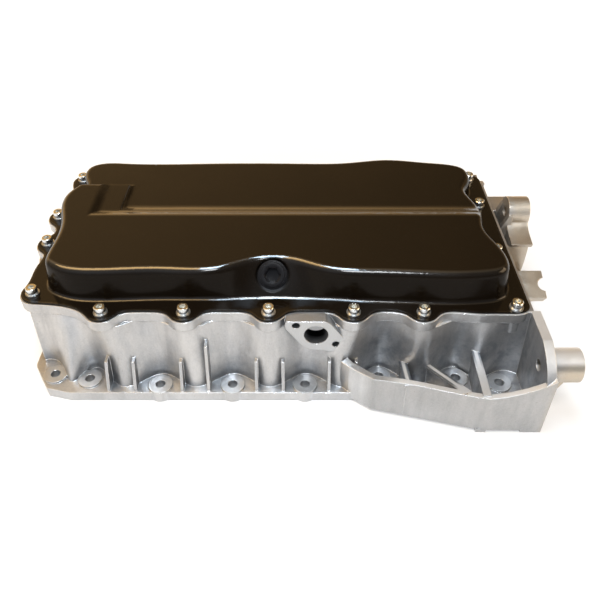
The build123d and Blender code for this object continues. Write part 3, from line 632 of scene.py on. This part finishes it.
def make_seal_rubber():
    """Dull black sealant."""
    material, tree, skin, place = new_material("seal_rubber")
    grain = add_noise(tree, 800.0, 3.0, 0.6, place)
    colour = add_mix(tree, grain, (0.02, 0.02, 0.02, 1.0), (0.05, 0.05, 0.05, 1.0))
    tree.links.new(colour, skin.inputs["Base Color"])
    tree.links.new(add_range(tree, grain, 0.3, 0.7, 0.6, 0.8), skin.inputs["Roughness"])
    return material


# ---------------------------------------------------------------- drain plug
def ring_angles():
    """Angles of a ring's vertices round the plug's axis."""
    return [2.0 * math.pi * step / plug_segments for step in range(plug_segments)]


def circle(radius):
    """Radii of a round ring."""
    return [radius] * plug_segments


def hexagon(flat):
    """Radii of a six-sided ring, from the distance of its flats to the axis."""
    sector = math.pi / 3.0
    return [flat / math.cos((angle % sector) - sector / 2.0) for angle in ring_angles()]


def thread_ring(height):
    """Radii of a ring across the thread, which runs out at both ends."""
    run_out = min(1.0, (thread_top - height) / thread_pitch, (height - thread_end) / thread_pitch)
    depth = (thread_crest - thread_root) * max(0.0, run_out)
    crest_width = 1.15
    radii = []
    for angle in ring_angles():
        turn = (height / thread_pitch - angle / (2.0 * math.pi)) % 1.0
        radii.append(thread_root + depth * min(1.0, crest_width * (1.0 - abs(2.0 * turn - 1.0))))
    return radii


def plug_rings():
    """Rings of the plug, each with its radii and height, from the socket's floor to the thread's end."""
    rings = [
        (hexagon(socket_floor_flat), socket_floor),
        (hexagon(socket_flat), socket_floor + 0.2),
        (hexagon(socket_flat), collar_top - 0.8),
        (circle(socket_flat + 1.5), collar_top - 0.05),
        (circle(socket_flat + 1.7), collar_top),
        (circle(collar_radius - 0.6), collar_top),
        (circle(collar_radius - 0.25), collar_top - 0.1),
        (circle(collar_radius - 0.05), collar_top - 0.35),
        (circle(collar_radius), collar_top - 0.7),
        (circle(collar_radius), flange_top + 0.2),
        (circle(collar_radius + 0.2), flange_top),
        (circle(flange_radius - 0.7), flange_top),
        (circle(flange_radius - 0.25), flange_top - 0.15),
        (circle(flange_radius - 0.05), flange_top - 0.45),
        (circle(flange_radius), flange_top - 0.8),
        (circle(flange_radius), flange_bottom + 0.3),
        (circle(flange_radius - 0.3), flange_bottom),
        (circle(thread_crest + 0.2), flange_bottom),
        (circle(thread_root + 0.15), flange_bottom - 0.2),
        (circle(thread_root), 0.0),
    ]
    steps = int((thread_top - thread_end) / thread_pitch * rings_per_turn)
    for step in range(steps + 1):
        height = thread_top + (thread_end - thread_top) * step / steps
        rings.append((thread_ring(height), height))
    rings.append((circle(thread_root), plug_end + 0.4))
    rings.append((circle(thread_root - 0.5), plug_end))
    return rings


def shape_ring(ring, radii, height):
    """Moves a ring's vertices to their radii and height."""
    for vert, angle, radius in zip(ring, ring_angles(), radii):
        vert.co = (radius * math.cos(angle), radius * math.sin(angle), height)


def extrude_ring(bm, ring):
    """Extrudes a closed ring of vertices and returns its copy in the same order."""
    edges = [bm.edges.get((vert, after)) for vert, after in zip(ring, ring[1:] + ring[:1])]
    made = bmesh.ops.extrude_edge_only(bm, edges=edges)["geom"]
    fresh = {item for item in made if isinstance(item, bmesh.types.BMVert)}
    copy = []
    for vert in ring:
        ends = [edge.other_vert(vert) for edge in vert.link_edges]
        copy.append([end for end in ends if end in fresh][0])
    return copy


def make_drain_plug(material):
    """Plug with a countersunk hexagon socket, rounded flange and a cut M14 x 1.5 thread."""
    bm = bmesh.new()
    ring = bmesh.ops.create_circle(bm, cap_ends=True, radius=1.0, segments=plug_segments)["verts"]
    first, *others = plug_rings()
    shape_ring(ring, *first)
    for radii, height in others:
        ring = extrude_ring(bm, ring)
        shape_ring(ring, radii, height)
    bmesh.ops.holes_fill(bm, edges=bm.edges, sides=0)
    bmesh.ops.recalc_face_normals(bm, faces=bm.faces)
    millimetre = 0.001
    place = Matrix.Translation(Vector(plug_seat) * millimetre)
    lean = Matrix.Rotation(math.radians(plug_lean), 4, "X")
    bmesh.ops.transform(bm, matrix=place @ lean @ Matrix.Scale(millimetre, 4), verts=bm.verts)
    mesh = bpy.data.meshes.new("drain_plug_threaded")
    bm.to_mesh(mesh)
    bm.free()
    for polygon in mesh.polygons:
        polygon.use_smooth = True
    mesh.set_sharp_from_angle(angle=math.radians(28.0))
    plug = bpy.data.objects.new("drain_plug_threaded", mesh)
    scene.collection.objects.link(plug)
    mesh.materials.append(material)
    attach(plug, "plug")
    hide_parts("drain_plug")


# ---------------------------------------------------------------- CAD nodes
def paint(node, material):
    """Gives every slot of a CAD node one material."""
    piece = nodes[node]
    piece.data.materials.clear()
    piece.data.materials.append(material)


def paint_nodes():
    """Makes the materials and assigns them to the CAD nodes and the plug."""
    edge_group = make_edge_group()
    hollow_group = make_hollow_group()
    cast_aluminium = make_cast_aluminium(edge_group, hollow_group, make_cast_group(), make_cut_group())
    # The last colour of each is the painted tint for faces that look up.
    bolt_steel = make_plated_steel(
        "zinc_steel", (0.70, 0.74, 0.78, 1.0), (0.84, 0.86, 0.88, 1.0), (0.86, 0.80, 0.62, 1.0), 0.22)
    washer_steel = make_plated_steel(
        "washer_steel", (0.55, 0.57, 0.60, 1.0), (0.70, 0.71, 0.72, 1.0), (0.66, 0.66, 0.64, 1.0), 0.30)
    paint("upper_pan_casting", cast_aluminium)
    paint("lower_pan_tray", make_black_enamel())
    paint("tray_seal", make_seal_rubber())
    paint("drain_nut", washer_steel)
    paint("drain_plug_washer", washer_steel)
    make_drain_plug(make_black_steel(edge_group))
    for name in nodes:
        if name.startswith("tray_bolt"):
            paint(name, bolt_steel)
        elif name.startswith("tray_washer"):
            paint(name, washer_steel)


make_camera()
make_world()
make_floor()
make_lamps()
paint_nodes()
